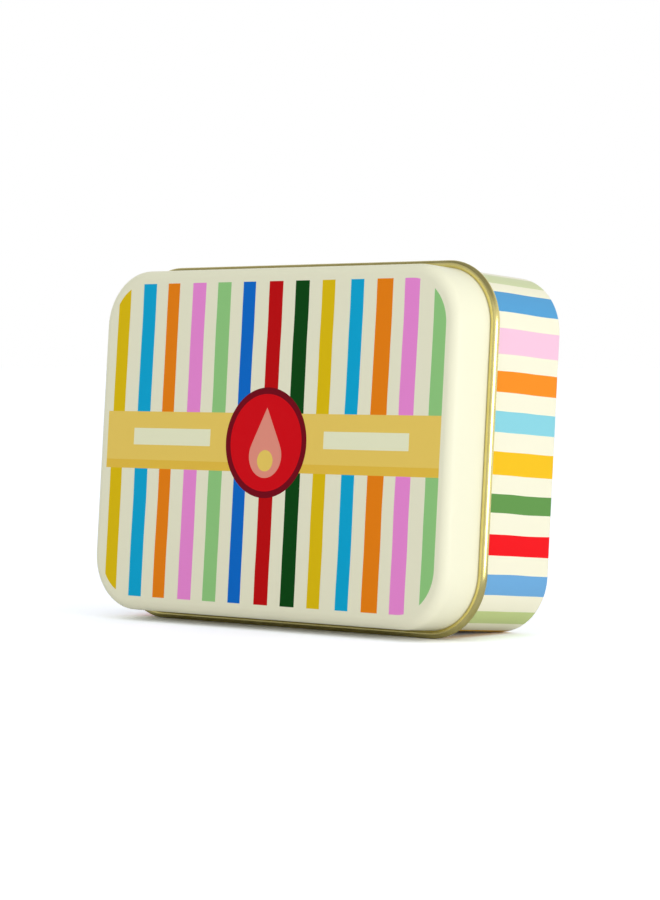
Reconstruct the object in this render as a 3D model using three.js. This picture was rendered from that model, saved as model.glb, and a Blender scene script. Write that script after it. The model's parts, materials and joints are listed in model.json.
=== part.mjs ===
// A lift-off-lid tinplate box of long matches, standing on its long side and leaning back on its rim.
// Units are millimetres. The tin is drawn in its own axes first: X along its length, Y from the
// lid's face to the base, Z across its width. The group at the end leans it back and sets it down.

import * as THREE from "three";

// Tin: the lid's wall and the body's wall lie flush with each other
const tinLength = 118;
const tinWidth = 86;
const tinDepth = 39;
const cornerRadius = 14;
const sheet = 0.3; // tinplate with its lacquer and print
const slipClearance = 0.3; // each side, between the lid and the neck
const seatClearance = 0.3; // between pieces that rest on each other

// Lid
const faceEdgeRadius = 2.6; // outside radius where the face turns into the wall
const lidDepth = 13.9; // face to the back of the rolled rim
const rimRadius = 1.1; // outside radius of the outward curl
const rimTurn = 300; // degrees that the curl goes round

// Body
const baseEdgeRadius = 1.2; // outside radius where the wall turns into the base
const footWidth = 4.5; // flat ring that the tin stands on when it lies on its base
const baseRecess = 1.0; // how far the base panel is pressed in
const baseStep = 1.0; // radius of the two bends of that recess, at the middle of the sheet
const shoulderRadius = 0.6; // bends of the shoulder below the lid, at the middle of the sheet
const neckGap = 1.5; // from the top of the neck to the inside of the lid's face
const neckCurlRadius = 0.8; // outside radius of the inward curl on the neck
const neckCurlTurn = 290;

// Striking strip, glued in the recess of the base
const strikerEndRoom = 14; // from the end walls to the strip
const strikerHeight = 14;
const strikerThickness = 0.35;
const glueGap = 0.05;

// Matches
const matchEndRoom = 9; // from the end walls to the matches
const splintSize = 2.4;
const splintCorner = 0.3; // chamfer along the splint's edges
const headLength = 6.5;
const headRadius = 1.75;
const matchLayers = 5; // above each other; as many columns as the tin is deep enough for
const matchGap = 0.25; // between neighbouring heads, and between stacked splints

// How finely curves are divided
const cornerSteps = 9;
const bendSteps = 3;
const curlSteps = 11;
const headRings = 5;

const finishes = {
  lid: new THREE.MeshStandardMaterial({ color: 0xe9e6cf, roughness: 0.38, metalness: 0.1 }),
  body: new THREE.MeshStandardMaterial({ color: 0xfaf4dc, roughness: 0.38, metalness: 0.1 }),
  striker: new THREE.MeshStandardMaterial({ color: 0x4a2c22, roughness: 0.95, metalness: 0 }),
  wood: new THREE.MeshStandardMaterial({ color: 0xe3c18d, roughness: 0.75, metalness: 0 }),
  head: new THREE.MeshStandardMaterial({ color: 0xb3121a, roughness: 0.85, metalness: 0 }),
};

// Walks along the middle of a bent sheet, seen in section. out is the distance outside the tin's
// wall line and y the distance behind the lid's face. Positive turns go from out towards y.
class SheetSection {
  constructor(out, y, headingDegrees) {
    this.heading = THREE.MathUtils.degToRad(headingDegrees);
    this.points = [{ out, y, heading: this.heading }];
  }
  get end() {
    return this.points[this.points.length - 1];
  }
  line(length) {
    const { out, y } = this.end;
    const heading = this.heading;
    this.points.push({
      out: out + length * Math.cos(heading),
      y: y + length * Math.sin(heading),
      heading,
    });
    return this;
  }
  bend(radius, degrees, steps) {
    const side = Math.sign(degrees);
    const { out, y } = this.end;
    const first = this.heading;
    const centreOut = out - side * radius * Math.sin(first);
    const centreY = y + side * radius * Math.cos(first);
    for (let i = 1; i <= steps; i++) {
      const heading = first + (THREE.MathUtils.degToRad(degrees) * i) / steps;
      this.points.push({
        out: centreOut + side * radius * Math.sin(heading),
        y: centreY - side * radius * Math.cos(heading),
        heading,
      });
      this.heading = heading;
    }
    return this;
  }
  // The sheet's surface at one side of its middle
  surface(side) {
    return this.points.map(({ out, y, heading }) => ({
      out: out + side * (sheet / 2) * Math.sin(heading),
      y: y - side * (sheet / 2) * Math.cos(heading),
    }));
  }
}

// One turn of the tin's rounded rectangle, at a distance outside its wall line
function outlineAt(out) {
  const straightX = tinLength / 2 - cornerRadius;
  const straightZ = tinWidth / 2 - cornerRadius;
  const radius = cornerRadius + out;
  const points = [];
  for (let corner = 0; corner < 4; corner++) {
    const sideX = corner === 0 || corner === 3 ? 1 : -1;
    const sideZ = corner < 2 ? 1 : -1;
    for (let i = 0; i <= cornerSteps; i++) {
      const angle = (Math.PI / 2) * (corner + i / cornerSteps);
      points.push([
        sideX * straightX + radius * Math.cos(angle),
        sideZ * straightZ + radius * Math.sin(angle),
      ]);
    }
  }
  return points;
}

// A pressed tin shell: the section goes round the outline, and flat panels close its middle.
// It starts at the middle, where its first surface looks towards -Y.
function pressedShell(section) {
  const rings = [...section.surface(1), ...section.surface(-1).reverse()];
  const count = 4 * (cornerSteps + 1);
  const positions = [];
  for (const { out, y } of rings) {
    for (const [x, z] of outlineAt(out)) positions.push(x, y, z);
  }
  const faces = [];
  for (let ring = 0; ring + 1 < rings.length; ring++) {
    for (let i = 0; i < count; i++) {
      const next = (i + 1) % count;
      const a = ring * count + i;
      const b = ring * count + next;
      const c = a + count;
      const d = b + count;
      faces.push(a, d, b, a, c, d);
    }
  }
  const lastRing = (rings.length - 1) * count;
  const outline = outlineAt(rings[0].out).map(([x, z]) => new THREE.Vector2(x, z));
  for (const [a, b, c] of THREE.ShapeUtils.triangulateShape(outline, [])) {
    faces.push(a, b, c, lastRing + a, lastRing + c, lastRing + b);
  }
  return indexedGeometry(positions, faces);
}

function indexedGeometry(positions, faces) {
  const geometry = new THREE.BufferGeometry();
  geometry.setAttribute("position", new THREE.Float32BufferAttribute(positions, 3));
  geometry.setIndex(faces);
  geometry.computeVertexNormals();
  return geometry;
}

// Where the sheets run, worked out from the sizes above
const half = sheet / 2;
const rimCentreOut = rimRadius - sheet;
const rimCentreY = lidDepth - rimRadius;
const neckOut = -sheet - slipClearance - half; // middle of the neck's sheet
const neckTopY = sheet + neckGap;
const shoulderY = lidDepth + seatClearance;
const shoulderDrop = -half - neckOut; // how far the neck stands in from the wall
const shoulderTurn = THREE.MathUtils.radToDeg(Math.acos(1 - shoulderDrop / (2 * shoulderRadius)));
const shoulderRun = 2 * shoulderRadius * Math.sin(THREE.MathUtils.degToRad(shoulderTurn));
const recessTurn = THREE.MathUtils.radToDeg(Math.acos(1 - baseRecess / (2 * baseStep)));
const recessRun = 2 * baseStep * Math.sin(THREE.MathUtils.degToRad(recessTurn));
const neckCurlCentreY = neckTopY + neckCurlRadius;
const panelInside = tinDepth - baseRecess - sheet; // the base panel, seen from the matches
const matchLength = tinLength - 2 * matchEndRoom;
const columnPitch = 2 * headRadius + matchGap;
const columnSpace = panelInside - seatClearance - neckCurlCentreY - neckCurlRadius;
const matchColumns = Math.floor((columnSpace + matchGap) / columnPitch);

function lidSection() {
  return new SheetSection(-faceEdgeRadius, half, 0)
    .bend(faceEdgeRadius - half, 90, bendSteps)
    .line(rimCentreY - faceEdgeRadius)
    .bend(rimRadius - half, -rimTurn, curlSteps);
}

function bodySection() {
  const footOut = -baseEdgeRadius - footWidth;
  const panelY = tinDepth - half - baseRecess;
  return new SheetSection(footOut - recessRun, panelY, 0)
    .bend(baseStep, recessTurn, bendSteps)
    .bend(baseStep, -recessTurn, bendSteps)
    .line(footWidth)
    .bend(baseEdgeRadius - half, -90, bendSteps)
    .line(tinDepth - baseEdgeRadius - shoulderY - shoulderRun)
    .bend(shoulderRadius, -shoulderTurn, bendSteps)
    .bend(shoulderRadius, shoulderTurn, bendSteps)
    .line(shoulderY - neckCurlCentreY)
    .bend(neckCurlRadius - half, -neckCurlTurn, curlSteps);
}

function strikerStrip() {
  const length = tinLength - 2 * strikerEndRoom;
  const geometry = new THREE.BoxGeometry(length, strikerThickness, strikerHeight);
  return geometry.translate(0, tinDepth - baseRecess + glueGap + strikerThickness / 2, 0);
}

// One match along +X, its tail at x = 0 and its axis on the X axis: a chamfered square splint whose
// end is dipped in a round head. Each ring of eight points goes from the square to the circle.
function matchGeometry() {
  const flat = splintSize / 2;
  const cut = flat - splintCorner;
  const square = [
    [flat, cut], [cut, flat], [-cut, flat], [-flat, cut],
    [-flat, -cut], [-cut, -flat], [cut, -flat], [flat, -cut],
  ];
  const roundPoint = (i, radius) => {
    const angle = (Math.PI / 8) * (2 * i + 1);
    return [radius * Math.cos(angle), radius * Math.sin(angle)];
  };
  const rings = [
    { x: 0, points: square },
    { x: matchLength - headLength, points: square },
  ];
  for (let ring = 1; ring <= headRings; ring++) {
    const share = ring / (headRings + 1);
    const swell = Math.pow(Math.sin(Math.PI * Math.pow(share, 0.8)), 0.55);
    const radius = Math.max(headRadius * swell, 0.55);
    const x = matchLength - headLength * (1 - share);
    rings.push({ x, points: square.map((_, i) => roundPoint(i, radius)) });
  }
  const positions = rings.flatMap(({ x, points }) => points.flatMap(([y, z]) => [x, y, z]));
  const tail = positions.length / 3;
  positions.push(0, 0, 0, matchLength, 0, 0);
  const faces = [];
  for (let ring = 0; ring + 1 < rings.length; ring++) {
    for (let i = 0; i < 8; i++) {
      const a = ring * 8 + i;
      const b = ring * 8 + ((i + 1) % 8);
      faces.push(a, b, b + 8, a, b + 8, a + 8);
    }
  }
  for (let i = 0; i < 8; i++) {
    const last = (rings.length - 1) * 8;
    faces.push(tail, (i + 1) % 8, i);
    faces.push(tail + 1, last + i, last + ((i + 1) % 8));
  }
  const geometry = indexedGeometry(positions, faces);
  const woodIndices = 8 * 6; // the splint's sides come first, then the head
  geometry.addGroup(0, woodIndices, 0);
  geometry.addGroup(woodIndices, faces.length - woodIndices, 1);
  return geometry;
}

function place(geometry, material, name) {
  const mesh = new THREE.Mesh(geometry, material);
  mesh.name = name;
  return mesh;
}

// How low a match can lie inside a wall: where it is longer than the flat part of the wall, its
// ends rest on the rounded corners
function restingLevel(innerOut) {
  const overhang = Math.max(0, matchLength / 2 - (tinLength / 2 - cornerRadius));
  const innerRadius = cornerRadius + innerOut;
  const sag = Math.sqrt(innerRadius ** 2 - overhang ** 2);
  return -(tinWidth / 2 - cornerRadius) - sag + seatClearance;
}

// The matches lie on the lower long wall. Heads are thicker than splints, so each layer tips a
// little more than the one below it, and the columns nearest the lid lie on the neck.
function addMatches(tin) {
  const firstY = panelInside - seatClearance - headRadius;
  const wallLevel = restingLevel(-sheet);
  const neckLevel = restingLevel(neckOut - half);
  const headX = matchLength - headLength / 2;
  for (let layer = 0; layer < matchLayers; layer++) {
    for (let column = 0; column < matchColumns; column++) {
      const y = firstY - column * columnPitch;
      const onNeck = y - headRadius < shoulderY + shoulderRun;
      const level = onNeck ? neckLevel : wallLevel;
      const headZ = level + headRadius + layer * (2 * headRadius + matchGap);
      const tailZ = level + splintSize / 2 + layer * (splintSize + matchGap);
      const rise = Math.atan2(headZ - tailZ, headX);
      const number = String(layer * matchColumns + column + 1).padStart(2, "0");
      const match = place(matchGeometry(), [finishes.wood, finishes.head], `match_${number}`);
      match.position.set(-matchLength / 2, y, tailZ);
      match.rotation.y = -rise;
      tin.add(match);
    }
  }
}

// The rim and the base's lower edge touch the ground together: the common tangent of two circles
function leanAngle() {
  const drop = rimCentreOut + baseEdgeRadius;
  const run = tinDepth - baseEdgeRadius - rimCentreY;
  const reach = Math.hypot(drop, run);
  return Math.atan2(drop, run) + Math.asin((rimRadius - baseEdgeRadius) / reach);
}

const tin = new THREE.Group();
tin.add(place(pressedShell(lidSection()), finishes.lid, "lid"));
tin.add(place(pressedShell(bodySection()), finishes.body, "tin_body"));
tin.add(place(strikerStrip(), finishes.striker, "striker_strip"));
addMatches(tin);
tin.rotation.x = -leanAngle();

// The origin is on the ground, under the middle of the tin's outer box
const bounds = new THREE.Box3().setFromObject(tin, true);
tin.position.set(0, -(bounds.min.y + bounds.max.y) / 2, -bounds.min.z);

const part = new THREE.Group();
part.add(tin);

export default part;
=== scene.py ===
import json
import math
import random

import bpy
from mathutils import Matrix, Vector

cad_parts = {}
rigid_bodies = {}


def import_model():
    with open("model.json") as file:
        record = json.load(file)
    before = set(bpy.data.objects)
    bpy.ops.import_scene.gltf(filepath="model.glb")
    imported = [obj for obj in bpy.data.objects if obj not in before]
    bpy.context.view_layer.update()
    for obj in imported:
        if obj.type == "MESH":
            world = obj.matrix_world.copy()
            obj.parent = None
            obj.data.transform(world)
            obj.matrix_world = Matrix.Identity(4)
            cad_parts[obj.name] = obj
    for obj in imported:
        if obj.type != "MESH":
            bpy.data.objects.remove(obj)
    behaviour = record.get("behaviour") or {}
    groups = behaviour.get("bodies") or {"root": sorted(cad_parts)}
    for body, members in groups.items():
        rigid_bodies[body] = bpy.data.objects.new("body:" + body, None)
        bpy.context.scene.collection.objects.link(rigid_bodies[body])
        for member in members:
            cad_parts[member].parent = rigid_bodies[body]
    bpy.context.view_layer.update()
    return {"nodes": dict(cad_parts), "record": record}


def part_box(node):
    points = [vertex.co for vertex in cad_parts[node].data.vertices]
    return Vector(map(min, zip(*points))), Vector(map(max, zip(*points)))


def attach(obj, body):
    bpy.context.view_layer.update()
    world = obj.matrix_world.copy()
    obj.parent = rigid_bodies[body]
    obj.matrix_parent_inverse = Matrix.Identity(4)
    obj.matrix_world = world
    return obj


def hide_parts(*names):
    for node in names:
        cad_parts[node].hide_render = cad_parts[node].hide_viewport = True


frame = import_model()
bpy.ops.object.select_all(action="DESELECT")
print("frame loaded:", len(frame["nodes"]), "nodes")

mm = 0.001

# The tin leans back on its rim. Its own axes start at the middle of the lid's face, with X along
# the length, Y from the face to the base and Z across the width.
lidFace = next(m for m in frame["record"]["mounts"] if m["name"] == "lid_face")
lean = math.atan2(lidFace["axis"][2], -lidFace["axis"][1])
tinOrigin = Vector(lidFace["pos_m"])
tinPlace = Matrix.Translation(tinOrigin) @ Matrix.Rotation(-lean, 4, "X")

# Sizes in mm, as in the CAD
tin = {
    "length": 118,
    "width": 86,
    "depth": 39,
    "corner": 14,
    "sheet": 0.3,
    "clearance": 0.3,
}


# Node helpers: a wrapped socket for shader maths, a tree that makes its nodes, and a finish
class Wire:
    def __init__(self, nodes, socket):
        self.nodes = nodes
        self.socket = socket

    def maths(self, operation, *others):
        return self.nodes.node("ShaderNodeMath", {"operation": operation}, dict(enumerate([self, *others])))

    def __add__(self, other):
        return self.maths("ADD", other)

    def __sub__(self, other):
        return self.maths("SUBTRACT", other)

    def __rsub__(self, other):
        return self.nodes.node("ShaderNodeMath", {"operation": "SUBTRACT"}, {0: other, 1: self})

    def __mul__(self, other):
        return self.maths("MULTIPLY", other)

    def __truediv__(self, other):
        return self.maths("DIVIDE", other)

    def __lt__(self, other):
        return self.maths("LESS_THAN", other)

    def __gt__(self, other):
        return self.maths("GREATER_THAN", other)

    def __abs__(self):
        return self.maths("ABSOLUTE")


class Nodes:
    def __init__(self, tree):
        self.tree = tree

    def node(self, kind, settings=None, values=None, output=0):
        made = self.tree.nodes.new(kind)
        for key, value in (settings or {}).items():
            if key == "stops":
                self.setStops(made.color_ramp, value)
            elif key == "interpolation":
                made.color_ramp.interpolation = value
            else:
                setattr(made, key, value)
        for key, value in (values or {}).items():
            self.feed(made.inputs[key], value)
        return Wire(self, made.outputs[output])

    def feed(self, socket, value):
        if isinstance(value, Wire):
            self.tree.links.new(value.socket, socket)
        else:
            socket.default_value = value

    def setStops(self, ramp, stops):
        while len(ramp.elements) < len(stops):
            ramp.elements.new(1)
        for element, (position, colour) in zip(ramp.elements, stops):
            element.position = position
            element.color = colour

    def mix(self, factor, first, second):
        return self.node("ShaderNodeMix", {"data_type": "RGBA"}, {0: factor, 6: first, 7: second}, 2)

    def dot(self, first, second):
        return self.node("ShaderNodeVectorMath", {"operation": "DOT_PRODUCT"}, {0: first, 1: second}, 1)

    # From one level to another while the value passes between its ends
    def ramp(self, value, ends, first=0, last=1):
        return self.node("ShaderNodeMapRange", values={
            "Value": value, "From Min": ends[0], "From Max": ends[1], "To Min": first, "To Max": last})

    # One for rays of any of these kinds
    def rays(self, *kinds):
        path = self.tree.nodes.new("ShaderNodeLightPath")
        found, *others = (Wire(self, path.outputs[f"Is {kind} Ray"]) for kind in kinds)
        for other in others:
            found = found.maths("MAXIMUM", other)
        return found


class Finish(Nodes):
    def __init__(self, name):
        self.material = bpy.data.materials.new(name)
        self.material.use_nodes = True
        super().__init__(self.material.node_tree)
        self.shader = self.tree.nodes["Principled BSDF"]

    def set(self, **values):
        names = {
            "color": "Base Color",
            "coat": "Coat Weight",
            "coatRoughness": "Coat Roughness",
            "specular": "Specular IOR Level",
        }
        for key, value in values.items():
            self.feed(self.shader.inputs[names.get(key, key.capitalize())], value)

    # Millimetres in the tin's own axes
    def tinPoint(self):
        place = {"Location": tinOrigin, "Rotation": (-lean, 0, 0), "Scale": (mm, mm, mm)}
        where = self.node("ShaderNodeTexCoord", output=3)
        return self.node("ShaderNodeMapping", {"vector_type": "TEXTURE"}, {"Vector": where, **place})

    def tinAxes(self):
        point = self.tinPoint()
        return [self.node("ShaderNodeSeparateXYZ", values={0: point}, output=i) for i in range(3)]

    def noise(self, scale, detail=2, stretch=(1, 1, 1), roughness=0.5):
        point = self.node("ShaderNodeMapping", values={"Vector": self.tinPoint(), "Scale": stretch})
        return self.node("ShaderNodeTexNoise", values={
            "Vector": point, "Scale": scale, "Detail": detail, "Roughness": roughness})

    def bump(self, height, distance, strength):
        self.set(normal=self.node("ShaderNodeBump", values={
            "Height": height, "Distance": distance * mm, "Strength": strength}))


brightestPaint = 0.93


# Linear colour from sRGB levels of 0 to 255
def paint(red, green, blue, lift=1):
    def linear(value):
        value = value / 255
        return value / 12.92 if value <= 0.04045 else ((value + 0.055) / 1.055) ** 2.4

    return tuple(min(linear(v) * lift, brightestPaint) for v in (red, green, blue)) + (1,)


def distance(a, b):
    return (a * a + b * b).maths("SQRT")


def outsideCorner(x, z, halfX, halfZ, corner):
    overX = (abs(x) - (halfX - corner)).maths("MAXIMUM", 0)
    overZ = (abs(z) - (halfZ - corner)).maths("MAXIMUM", 0)
    return distance(overX, overZ) - corner


def stripeRamp(finish, place, stripes, cream):
    stops = [(0, cream)]
    for start, end, colour in stripes:
        stops += [(start, colour), (end, cream)]
    return finish.node("ShaderNodeValToRGB", {"interpolation": "CONSTANT", "stops": stops}, {"Fac": place})


varnish = {
    "roughness": 0.25,
    "smudge": 0.1,
    "coat": 0.02,
    "coatRoughness": 0.1,
    "specular": 0.07,  # satin
    "ripple": 0.004,
}


def varnishPrint(finish, colour):
    smudge = finish.noise(scale=0.09, detail=3)
    finish.set(
        color=colour,
        roughness=smudge * varnish["smudge"] + varnish["roughness"],
        coat=varnish["coat"],
        coatRoughness=varnish["coatRoughness"],
        specular=varnish["specular"],
    )
    finish.bump(finish.noise(scale=1.4, detail=3), distance=varnish["ripple"], strength=0.6)


# Print on the lid: stripes, each with its start, its width and its ink, and a band across the face
lidPrint = {
    "cream": paint(247, 244, 218),
    "faceDepth": 1,
    "borderX": 55.6,
    "borderZ": 39.5,
    "borderCorner": 11,
    "wobble": 0.5,
    "inks": {
        "mustard": paint(208, 176, 5, 1.3),
        "sky": paint(0, 155, 200, 1.3),
        "orange": paint(222, 120, 10, 1.3),
        "pink": paint(228, 128, 200, 1.3),
        "leaf": paint(135, 188, 120, 1.3),
        "blue": paint(0, 98, 190, 1.3),
        "red": paint(180, 0, 5, 1.3),
        "forest": paint(0, 64, 10, 1.3),
    },
    "stripes": [
        (-54.1, 4.1, "mustard"), (-45.5, 4.7, "sky"), (-36.6, 4.3, "orange"), (-27.7, 4.5, "pink"),
        (-19.1, 4.6, "leaf"), (-10.3, 4.3, "blue"), (-1.6, 4.5, "red"), (7.1, 4.6, "forest"),
        (15.9, 4.3, "mustard"), (25.2, 4.0, "sky"), (33.5, 4.8, "orange"), (42.4, 4.5, "pink"),
        (51.5, 4.6, "leaf"),
    ],
    "band": paint(240, 186, 90, 1.35),
    "bandEdge": paint(216, 178, 66, 1.3),
    "bandTop": 7.2,
    "bandBottom": -7.2,
    "bandEdgeWidth": 2.2,
    "bar": paint(236, 222, 190, 1.3),
    "barStart": 19,
    "barEnd": 46,
    "barMiddle": 0.9,
    "barHalfHeight": 2.1,
    "discRadius": 13.5,
    "ringWidth": 1.6,
    "disc": paint(200, 0, 15, 1.3),
    "ring": paint(110, 0, 20, 1.3),
    "flame": paint(215, 135, 120, 1.3),
    "flameMiddle": -3.2,
    "flameRadius": 5.4,
    "flameTip": 8.6,
    "flameSlope": 0.52,
    "flameNeck": -0.4,
    "coreMiddle": -4.4,
    "coreRadius": 2.6,
}


def makeLidPrint():
    look = lidPrint
    finish = Finish("lidPrint")
    x, y, z = finish.tinAxes()
    length = tin["length"]
    wobble = (finish.noise(scale=0.05, detail=1, stretch=(1, 0, 1)) - 0.5) * look["wobble"]
    place = (x + wobble + length / 2) / length
    stripes = []
    for start, width, ink in look["stripes"]:
        left = (start + length / 2) / length
        stripes.append((left, left + width / length, look["inks"][ink]))
    striped = stripeRamp(finish, place, stripes, look["cream"])
    onBand = (z < look["bandTop"]) * (z > look["bandBottom"])
    band = finish.mix(z < look["bandBottom"] + look["bandEdgeWidth"], look["band"], look["bandEdge"])
    onBar = (abs(x) > look["barStart"]) * (abs(x) < look["barEnd"])
    onBar = onBar * (abs(z - look["barMiddle"]) < look["barHalfHeight"])
    colour = finish.mix(onBand, striped, finish.mix(onBar, band, look["bar"]))
    # A roundel with a plain flame: a circle below, drawn up to a point
    fromCentre = distance(x, z)
    colour = finish.mix(fromCentre < look["discRadius"], colour, look["ring"])
    colour = finish.mix(fromCentre < look["discRadius"] - look["ringWidth"], colour, look["disc"])
    drop = distance(x, z - look["flameMiddle"]) < look["flameRadius"]
    point = (abs(x) < (look["flameTip"] - z) * look["flameSlope"]) * (z > look["flameNeck"])
    colour = finish.mix(drop.maths("MAXIMUM", point), colour, look["flame"])
    core = distance(x, z - look["coreMiddle"]) < look["coreRadius"]
    colour = finish.mix(core, colour, look["band"])
    inside = outsideCorner(x, z, look["borderX"], look["borderZ"], look["borderCorner"]) < 0
    varnishPrint(finish, finish.mix(inside * (y < look["faceDepth"]), look["cream"], colour))
    return finish.material


# Print on the body's wall: a cycle of stripes, each with its start and its width in pitches
bodyPrint = {
    "cream": paint(247, 243, 219),
    "wallStart": 15.4,
    "wallEndRoom": 0.25,
    "baseInset": 3,
    "wobble": 0.6,
    "cycles": 3,
    "pitches": 13,
    "inks": {
        "orange": paint(250, 144, 34),
        "yellow": paint(252, 196, 30),
        "lime": paint(200, 214, 146),
        "blue": paint(112, 172, 222),
        "red": paint(246, 16, 26),
        "green": paint(100, 152, 78),
        "sky": paint(140, 212, 226),
        "pink": paint(250, 200, 224),
        "deepBlue": paint(88, 162, 214),
        "paleLime": paint(214, 222, 174),
    },
    "stripes": [
        (0.15, 0.5, "orange"), (1.15, 0.52, "yellow"), (2.12, 0.46, "lime"), (3.02, 0.52, "blue"),
        (4.0, 0.49, "red"), (4.98, 0.47, "green"), (5.92, 0.55, "yellow"), (6.93, 0.49, "sky"),
        (7.88, 0.54, "orange"), (8.83, 0.57, "pink"), (9.82, 0.54, "deepBlue"), (10.68, 0.47, "paleLime"),
        (11.6, 0.5, "green"), (12.4, 0.42, "red"),
    ],
}


def makeBodyPrint():
    look = bodyPrint
    finish = Finish("bodyPrint")
    x, y, z = finish.tinAxes()
    halfX, halfZ, corner = tin["length"] / 2, tin["width"] / 2, tin["corner"]
    straightX = halfX - corner
    straightZ = halfZ - corner
    overX = (abs(x) - straightX).maths("MAXIMUM", 0.001)
    overZ = (abs(z) - straightZ).maths("MAXIMUM", 0)
    # Distance round the wall from the middle of one end, so the stripes turn the corners evenly
    along = abs(z).maths("MINIMUM", straightZ) + overZ.maths("ARCTAN2", overX) * corner
    along = along + (straightX - abs(x).maths("MINIMUM", straightX))
    quarter = straightZ + straightX + corner * math.pi / 2
    farHalf = x < 0
    along = along + farHalf * (along * -2 + 2 * quarter)
    around = along * z.maths("SIGN") + 2 * quarter
    wobble = (finish.noise(scale=0.06, detail=1) - 0.5) * look["wobble"]
    cycle = ((around + wobble) / (4 * quarter / look["cycles"])).maths("FRACT")
    pitches = look["pitches"]
    stripes = []
    for start, width, ink in look["stripes"]:
        stripes.append((start / pitches, (start + width) / pitches, look["inks"][ink]))
    striped = stripeRamp(finish, cycle, stripes, look["cream"])
    inset = look["baseInset"]
    onBase = outsideCorner(x, z, halfX - inset, halfZ - inset, corner - inset) < 0
    onWall = (y > look["wallStart"]) * (y < tin["depth"] - look["wallEndRoom"]) * (1 - onBase)
    varnishPrint(finish, finish.mix(onWall, look["cream"], striped))
    return finish.material


lacquer = {
    "dark": paint(214, 198, 112),
    "light": paint(238, 226, 160),
    "roughness": 0.16,
    "streakRoughness": 0.08,
    "ripple": 0.0015,
}


def makeLacquer():
    finish = Finish("goldLacquer")
    streak = finish.noise(scale=0.3, stretch=(1, 6, 1))
    finish.set(
        color=finish.mix(streak, lacquer["dark"], lacquer["light"]),
        metallic=1.0,
        roughness=streak * lacquer["streakRoughness"] + lacquer["roughness"],
    )
    finish.bump(finish.noise(scale=1.2), distance=lacquer["ripple"], strength=0.3)
    return finish.material


wood = {
    "dark": paint(214, 176, 118),
    "light": paint(240, 214, 166),
    "shade": paint(226, 190, 134),
    "shadeShare": 0.5,
    "roughness": 0.6,
    "grainRoughness": 0.2,
    "grainDepth": 0.05,
}


def makeWood():
    finish = Finish("matchWood")
    grain = finish.noise(scale=1.5, detail=4, stretch=(0.03, 1.6, 1.6), roughness=0.6)
    shade = finish.noise(scale=0.28, detail=1, stretch=(0.004, 1, 1))
    colour = finish.mix(grain, wood["dark"], wood["light"])
    colour = finish.mix(shade * wood["shadeShare"], colour, wood["shade"])
    finish.set(color=colour, roughness=grain * wood["grainRoughness"] + wood["roughness"])
    finish.bump(grain, distance=wood["grainDepth"], strength=0.5)
    return finish.material


matchHead = {
    "dark": paint(150, 12, 14),
    "light": paint(206, 34, 30),
    "roughness": 0.75,
    "gritRoughness": 0.15,
    "gritDepth": 0.12,
}


def makeMatchHead():
    finish = Finish("matchHead")
    grit = finish.noise(scale=5, detail=4, roughness=0.7)
    colour = finish.mix(grit, matchHead["dark"], matchHead["light"])
    finish.set(color=colour, roughness=grit * matchHead["gritRoughness"] + matchHead["roughness"])
    finish.bump(grit, distance=matchHead["gritDepth"], strength=0.8)
    return finish.material


abrasive = {
    "dark": paint(44, 20, 17),
    "light": paint(112, 62, 50),
    "clumpShade": 2.2,
    "gritShade": 0.5,
    "middleShade": 0.25,
    "roughness": 0.85,
    "gritRoughness": 0.1,
    "gritDepth": 0.1,
}


def makeStriker():
    finish = Finish("strikerGrit")
    grit = finish.noise(scale=7, detail=4, roughness=0.75)
    clumps = finish.noise(scale=1.3, detail=3, roughness=0.7)
    shade = (clumps - 0.5) * abrasive["clumpShade"] + grit * abrasive["gritShade"] + abrasive["middleShade"]
    colour = finish.mix(shade, abrasive["dark"], abrasive["light"])
    finish.set(color=colour, roughness=grit * abrasive["gritRoughness"] + abrasive["roughness"])
    finish.bump(grit, distance=abrasive["gritDepth"], strength=0.9)
    return finish.material


finishes = {
    "lidPrint": makeLidPrint(),
    "bodyPrint": makeBodyPrint(),
    "lacquer": makeLacquer(),
    "wood": makeWood(),
    "matchHead": makeMatchHead(),
    "striker": makeStriker(),
}
print("finishes made:", len(finishes))

# Shells: a bent sheet seen in section, swept round the tin's outline and given its thickness
shellMesh = {
    "cornerSteps": 16,
    "sideCuts": 23,
    "longLine": 2,  # a line of the section over this length has a loop near each end
    "endLoop": 0.4,
    "panelRing": 1.5,  # flat margin between the panel's one face and its bend
    "merge": 0.001,
    "tolerance": 0.01,
    "smoothAngle": 40,
}


# Points of the section, which starts out level: reach beyond the outline and depth from the face
def bentSheet(start, moves):
    points = [start]
    heading = 0
    for kind, *sizes in moves:
        out, depth = points[-1]
        if kind == "line":
            length = sizes[0]
            loop = shellMesh["endLoop"]
            stretches = [loop, length - 2 * loop, loop] if length > shellMesh["longLine"] else [length]
            for stretch in stretches:
                out += stretch * math.cos(heading)
                depth += stretch * math.sin(heading)
                points.append((out, depth))
            continue
        radius, degrees, steps = sizes
        turn = math.radians(degrees)
        side = math.copysign(1, turn)
        centreOut = out - side * radius * math.sin(heading)
        centreDepth = depth + side * radius * math.cos(heading)
        for _ in range(steps):
            heading += turn / steps
            points.append((centreOut + side * radius * math.sin(heading),
                           centreDepth - side * radius * math.cos(heading)))
    return points


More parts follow.
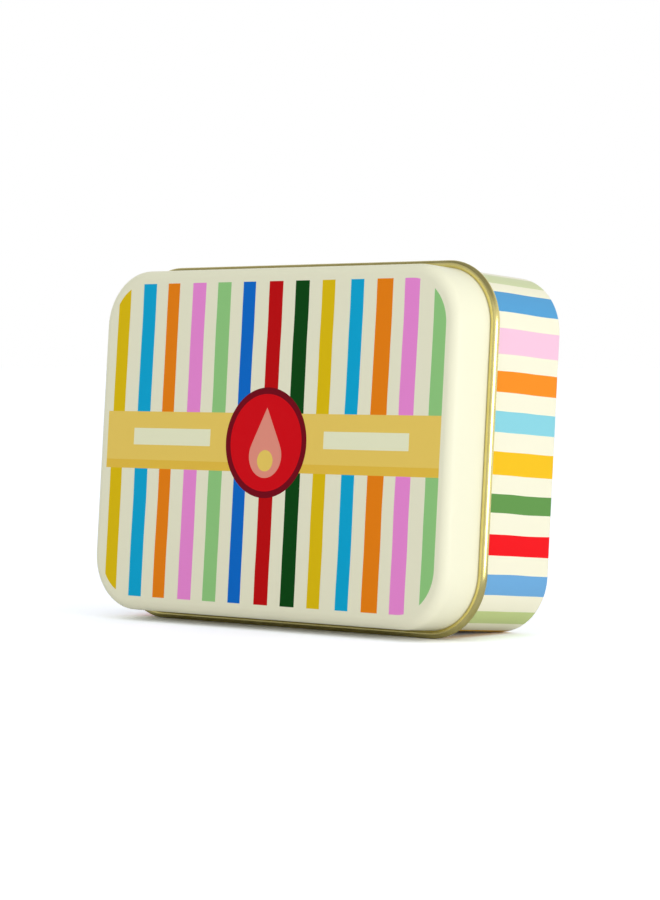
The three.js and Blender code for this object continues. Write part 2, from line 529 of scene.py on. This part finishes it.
def roundedOutline():
    bpy.ops.mesh.primitive_plane_add(size=1)
    outline = bpy.context.object
    bpy.ops.object.mode_set(mode="EDIT")
    bpy.ops.transform.resize(value=(tin["length"] * mm, tin["width"] * mm, 1))
    bpy.ops.mesh.bevel(offset=tin["corner"] * mm, segments=shellMesh["cornerSteps"], affect="VERTICES",
                       profile=0.5)
    bpy.ops.mesh.delete(type="ONLY_FACE")
    bpy.ops.mesh.select_all(action="DESELECT")
    bpy.ops.object.mode_set(mode="OBJECT")
    vertices = outline.data.vertices
    for edge in outline.data.edges:
        first, second = (vertices[i].co for i in edge.vertices)
        edge.select = (first - second).length > tin["corner"] * mm
    bpy.ops.object.mode_set(mode="EDIT")
    bpy.ops.mesh.subdivide(number_cuts=shellMesh["sideCuts"])
    bpy.ops.object.mode_set(mode="OBJECT")
    bpy.ops.object.convert(target="CURVE")
    return outline


def sectionCurve(points, outward):
    curve = bpy.data.curves.new("section", "CURVE")
    curve.dimensions = "2D"
    spline = curve.splines.new("POLY")
    spline.points.add(len(points) - 1)
    for place, (out, depth) in zip(spline.points, points):
        place.co = (out * outward * mm, -depth * mm, 0, 1)
    section = bpy.data.objects.new("section", curve)
    bpy.context.scene.collection.objects.link(section)
    return section


def selectOnly(obj):
    bpy.ops.object.select_all(action="DESELECT")
    obj.select_set(True)
    bpy.context.view_layer.objects.active = obj


def applyModifier(obj, kind, **settings):
    selectOnly(obj)
    modifier = obj.modifiers.new(kind.lower(), kind)
    for key, value in settings.items():
        setattr(modifier, key, value)
    bpy.ops.object.modifier_apply(modifier=modifier.name)


def pressedShell(name, points, outerWay, materials):
    outline = roundedOutline()
    outline.name = name
    outline.data.dimensions = "2D"
    outline.data.fill_mode = "NONE"
    ring = [p.co for p in outline.data.splines[0].points]
    area = sum(a.x * b.y - b.x * a.y for a, b in zip(ring, ring[1:] + ring[:1]))
    # The sweep lays the section's X inwards where the outline runs counter-clockwise
    section = sectionCurve(points, -math.copysign(1, area))
    outline.data.bevel_mode = "OBJECT"
    outline.data.bevel_object = section
    selectOnly(outline)
    bpy.ops.object.convert(target="MESH")
    bpy.data.objects.remove(section)
    shell = bpy.context.object
    bpy.ops.object.mode_set(mode="EDIT")
    bpy.ops.mesh.select_all(action="SELECT")
    bpy.ops.mesh.remove_doubles(threshold=shellMesh["merge"] * mm)
    bpy.ops.mesh.select_all(action="DESELECT")
    bpy.ops.mesh.select_mode(type="EDGE")
    bpy.ops.object.mode_set(mode="OBJECT")
    # The panel fills the ring that the section's first point leaves
    startOut, startDepth = points[0]
    tolerance = shellMesh["tolerance"]
    reachX = tin["length"] / 2 + startOut + tolerance
    reachY = tin["width"] / 2 + startOut + tolerance
    onPanel = [abs(v.co.z + startDepth * mm) < tolerance * mm and abs(v.co.x) < reachX * mm
               and abs(v.co.y) < reachY * mm for v in shell.data.vertices]
    for edge in shell.data.edges:
        edge.select = all(onPanel[i] for i in edge.vertices)
    bpy.ops.object.mode_set(mode="EDIT")
    bpy.ops.mesh.edge_face_add()
    bpy.ops.mesh.select_all(action="SELECT")
    bpy.ops.mesh.normals_make_consistent(inside=False)
    bpy.ops.object.mode_set(mode="OBJECT")
    panel = max(shell.data.polygons, key=lambda p: p.area)
    if panel.normal.z * outerWay < 0:
        bpy.ops.object.mode_set(mode="EDIT")
        bpy.ops.mesh.select_all(action="SELECT")
        bpy.ops.mesh.flip_normals()
        bpy.ops.object.mode_set(mode="OBJECT")
    shell.data.transform(tinPlace @ Matrix.Rotation(math.pi / 2, 4, "X"))
    for material in materials:
        shell.data.materials.append(material)
    applyModifier(shell, "SOLIDIFY", thickness=tin["sheet"] * mm, offset=0, use_even_offset=True,
                  material_offset=1, material_offset_rim=1)
    selectOnly(shell)
    bpy.ops.object.shade_smooth_by_angle(angle=math.radians(shellMesh["smoothAngle"]))
    return shell


half = tin["sheet"] / 2
panelRing = shellMesh["panelRing"]

lidShape = {"faceEdge": 2.6, "depth": 13.9, "rim": 1.1, "rimTurn": 315}
rimCentre = lidShape["depth"] - lidShape["rim"]
lidSection = bentSheet((-lidShape["faceEdge"] - panelRing, half), [
    ("line", panelRing),
    ("bend", lidShape["faceEdge"] - half, 90, 12),
    ("line", rimCentre - lidShape["faceEdge"]),
    ("bend", lidShape["rim"] - half, -lidShape["rimTurn"], 26),
])
lid = pressedShell("lid_shell", lidSection, 1, [finishes["lidPrint"], finishes["lacquer"]])
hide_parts("lid")
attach(lid, "lid")
print("lid:", len(lid.data.polygons), "faces")

bodyShape = {
    "baseEdge": 1.2,
    "foot": 4.5,
    "recess": 1.0,
    "step": 1.0,
    "shoulder": 0.6,
    "neckGap": 1.5,
    "curl": 0.8,
    "curlTurn": 290,
}


# Turn and run of an S bend that moves the sheet sideways by the drop, both halves of one radius
def sBend(radius, drop):
    turn = math.acos(1 - drop / (2 * radius))
    return math.degrees(turn), 2 * radius * math.sin(turn)


neckOut = -tin["sheet"] - tin["clearance"] - half
shoulderTurn, shoulderRun = sBend(bodyShape["shoulder"], -half - neckOut)
shoulderDepth = lidShape["depth"] + tin["clearance"]
stepTurn, stepRun = sBend(bodyShape["step"], bodyShape["recess"])
curlCentre = tin["sheet"] + bodyShape["neckGap"] + bodyShape["curl"]
panelStart = -bodyShape["baseEdge"] - bodyShape["foot"] - stepRun - panelRing
bodySection = bentSheet((panelStart, tin["depth"] - half - bodyShape["recess"]), [
    ("line", panelRing),
    ("bend", bodyShape["step"], stepTurn, 6),
    ("bend", bodyShape["step"], -stepTurn, 6),
    ("line", bodyShape["foot"]),
    ("bend", bodyShape["baseEdge"] - half, -90, 10),
    ("line", tin["depth"] - bodyShape["baseEdge"] - shoulderDepth - shoulderRun),
    ("bend", bodyShape["shoulder"], -shoulderTurn, 6),
    ("bend", bodyShape["shoulder"], shoulderTurn, 6),
    ("line", shoulderDepth - curlCentre),
    ("bend", bodyShape["curl"] - half, -bodyShape["curlTurn"], 20),
])
body = pressedShell("body_shell", bodySection, -1, [finishes["bodyPrint"], finishes["lacquer"]])
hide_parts("tin_body")
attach(body, "tin")
print("body:", len(body.data.polygons), "faces")

# Matches: one is modelled, then copied to where each one lies
match = {
    "splint": 2.4,
    "edge": 0.25,
    "head": 6.5,
    "headRadius": 1.75,
    "tipShare": 0.4,  # of the head, beyond the end of the splint
    "fullness": 0.1,
    "slide": 0.35,
    "smoothAngle": 50,
}
matchNodes = sorted(n for n in frame["nodes"] if n.startswith("match_"))
low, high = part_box(matchNodes[0])
matchLength = (high[0] - low[0]) / mm


def makeMatch():
    splintLength = matchLength - match["head"] * match["tipShare"]
    bpy.ops.mesh.primitive_cube_add(size=1, location=(splintLength / 2 * mm, 0, 0))
    splint = bpy.context.object
    bpy.ops.object.mode_set(mode="EDIT")
    bpy.ops.transform.resize(value=(splintLength * mm, match["splint"] * mm, match["splint"] * mm))
    bpy.ops.mesh.bevel(offset=match["edge"] * mm, segments=2, affect="EDGES")
    bpy.ops.object.mode_set(mode="OBJECT")
    splint.data.transform(splint.matrix_world)
    splint.matrix_world = Matrix.Identity(4)
    splint.data.materials.append(finishes["wood"])
    headCentre = matchLength - match["head"] / 2
    bpy.ops.mesh.primitive_uv_sphere_add(segments=20, ring_count=12, radius=1)
    head = bpy.context.object
    head.data.materials.append(finishes["matchHead"])
    bpy.ops.object.mode_set(mode="EDIT")
    bpy.ops.transform.rotate(value=math.pi / 2, orient_axis="Y", center_override=(0, 0, 0))
    bpy.ops.transform.resize(value=(match["head"] / 2 * mm, match["headRadius"] * mm, match["headRadius"] * mm))
    bpy.ops.object.mode_set(mode="OBJECT")
    # Fuller towards the tip than towards the splint
    for vertex in head.data.vertices:
        share = vertex.co.x / (match["head"] / 2 * mm)
        fullness = 1 + match["fullness"] * (share - 0.5)
        vertex.co = (vertex.co.x + headCentre * mm, vertex.co.y * fullness, vertex.co.z * fullness)
    applyModifier(splint, "BOOLEAN", operation="UNION", solver="EXACT", material_mode="TRANSFER",
                  object=head)
    bpy.data.objects.remove(head)
    selectOnly(splint)
    bpy.ops.object.shade_smooth_by_angle(angle=math.radians(match["smoothAngle"]))
    return splint


firstMatch = makeMatch()
print("one match:", len(firstMatch.data.polygons), "faces")
random.seed(7)
for name in matchNodes:
    copy = bpy.data.objects.new(name + "_wood", firstMatch.data.copy())
    bpy.context.scene.collection.objects.link(copy)
    low, high = (Vector(corner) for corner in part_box(name))
    middle = tinPlace.inverted() @ ((low + high) / 2)
    height = high.z - low.z
    # The heads lie on heads, so each match climbs a little towards its tip
    climb = height - (match["headRadius"] + match["splint"] / 2) * mm
    tail = middle.z - height / 2 + match["splint"] / 2 * mm
    slide = random.uniform(-match["slide"], match["slide"]) * mm
    lift = Matrix.Rotation(-math.atan2(climb, matchLength * mm), 4, "Y")
    spin = Matrix.Rotation(math.pi / 2 * random.randrange(4), 4, "X")
    place = Matrix.Translation((-matchLength / 2 * mm + slide, middle.y, tail))
    copy.data.transform(tinPlace @ place @ lift @ spin)
    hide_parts(name)
    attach(copy, "tin")
bpy.data.objects.remove(firstMatch)
print("matches:", len(matchNodes))

striker = frame["nodes"]["striker_strip"]
striker.data.materials.clear()
striker.data.materials.append(finishes["striker"])

# Floor, background, lamps and camera, in metres
room = {
    "floorSize": 60,
    "floorDrop": 0.02 * mm,
    "floorColour": (0.88, 0.88, 0.9, 1),
    "floorShown": (1.4, 1.42, 1.56, 1),  # white to the camera and in reflections
    "ambientLow": (0.405, 0.42, 0.405, 1),
    "ambientHigh": (0.88, 0.9, 0.88, 1),
    "overhead": 0.3,
    "overheadRise": (0.25, 0.8),
    "darkSide": (-0.67, -0.74, 0),  # the unlit side of the room, as metal sees it
    "darkLevel": 0.42,
    "darkSky": (0.3, 0.9),
    # Ranges of the painted shade that metal sees on the floor: on the unlit side, and near the tin
    "darkFloor": (0.03, 0.25),
    "nearTin": (0.15, 0.6),
    "lampAim": (0, 0, 0.04),
    "keyPlace": (0.78, -0.12, 0.12),
    "keySize": (0.5, 0.22),
    "keyPower": 2.35,
    "fillPlace": (-0.5, -0.9, 0.5),
    "fillSize": (0.9, 0.9),
    "fillPower": 0.62,
}

bpy.ops.mesh.primitive_plane_add(size=room["floorSize"], location=(0, 0, -room["floorDrop"]))
floor = bpy.context.object
floor.name = "studio_floor"
ground = Finish("floor")
floorPlace = ground.node("ShaderNodeTexCoord", output=3)
fromTin = ground.node("ShaderNodeVectorMath", {"operation": "LENGTH"}, {0: floorPlace}, 1)
# Metal sees the floor dark near the tin and on the unlit side: painted shade, seen in reflections only
nearTin = ground.ramp(fromTin, room["nearTin"], 1, 0)
unlit = ground.ramp(ground.dot(floorPlace, room["darkSide"]), room["darkFloor"]).maths("MAXIMUM", nearTin)
darkFloor = tuple(v * room["darkLevel"] for v in room["floorShown"][:3]) + (1,)
shownFloor = ground.mix(ground.rays("Glossy") * unlit, room["floorShown"], darkFloor)
floorColour = ground.mix(ground.rays("Camera", "Glossy"), room["floorColour"], shownFloor)
floorSurface = ground.node("ShaderNodeBsdfDiffuse", values={"Color": floorColour})
ground.feed(ground.tree.nodes["Material Output"].inputs["Surface"], floorSurface)
floor.data.materials.append(ground.material)

world = bpy.data.worlds.new("studio")
bpy.context.scene.world = world
world.use_nodes = True
sky = Nodes(world.node_tree)
direction = sky.node("ShaderNodeTexCoord")
rise = sky.node("ShaderNodeSeparateXYZ", values={0: direction}, output=2)
# As the camera and reflections see it the sky is white all round and dimmer high overhead. The
# room's unlit side is darker in reflections only.
overhead = sky.ramp(rise, room["overheadRise"], 1, room["overhead"])
sideLevel = sky.ramp(sky.dot(direction, room["darkSide"]), room["darkSky"], 1, room["darkLevel"])
shownSky = overhead * sideLevel.maths("MAXIMUM", sky.rays("Camera"))
# The light itself grows from the horizon up
ambient = sky.mix(rise, room["ambientLow"], room["ambientHigh"])
skyColour = sky.mix(sky.rays("Camera", "Glossy", "Transmission"), ambient, shownSky)
sky.feed(sky.tree.nodes["Background"].inputs["Color"], skyColour)


def areaLamp(name, place, size, power):
    bpy.ops.object.light_add(type="AREA", location=place)
    lamp = bpy.context.object
    lamp.name = name
    lamp.data.shape = "RECTANGLE"
    lamp.data.size, lamp.data.size_y = size
    lamp.data.energy = power
    lamp.rotation_euler = (Vector(room["lampAim"]) - Vector(place)).to_track_quat("-Z", "Y").to_euler()


areaLamp("key_lamp", room["keyPlace"], room["keySize"], room["keyPower"])
areaLamp("fill_lamp", room["fillPlace"], room["fillSize"], room["fillPower"])

shot = {
    "place": (0.51753, -0.56537, 0.06525),
    "forward": (-0.672478, 0.739577, -0.028294),
    "lens": 123.55,
    "sensor": 36,
    "farthest": 200,
}
bpy.ops.object.camera_add(location=shot["place"])
camera = bpy.context.object
camera.rotation_euler = Vector(shot["forward"]).to_track_quat("-Z", "Y").to_euler()
camera.data.lens = shot["lens"]
camera.data.sensor_width = shot["sensor"]
camera.data.clip_end = shot["farthest"]
bpy.context.scene.camera = camera
bpy.context.scene.view_settings.view_transform = "Standard"
bpy.ops.object.select_all(action="DESELECT")
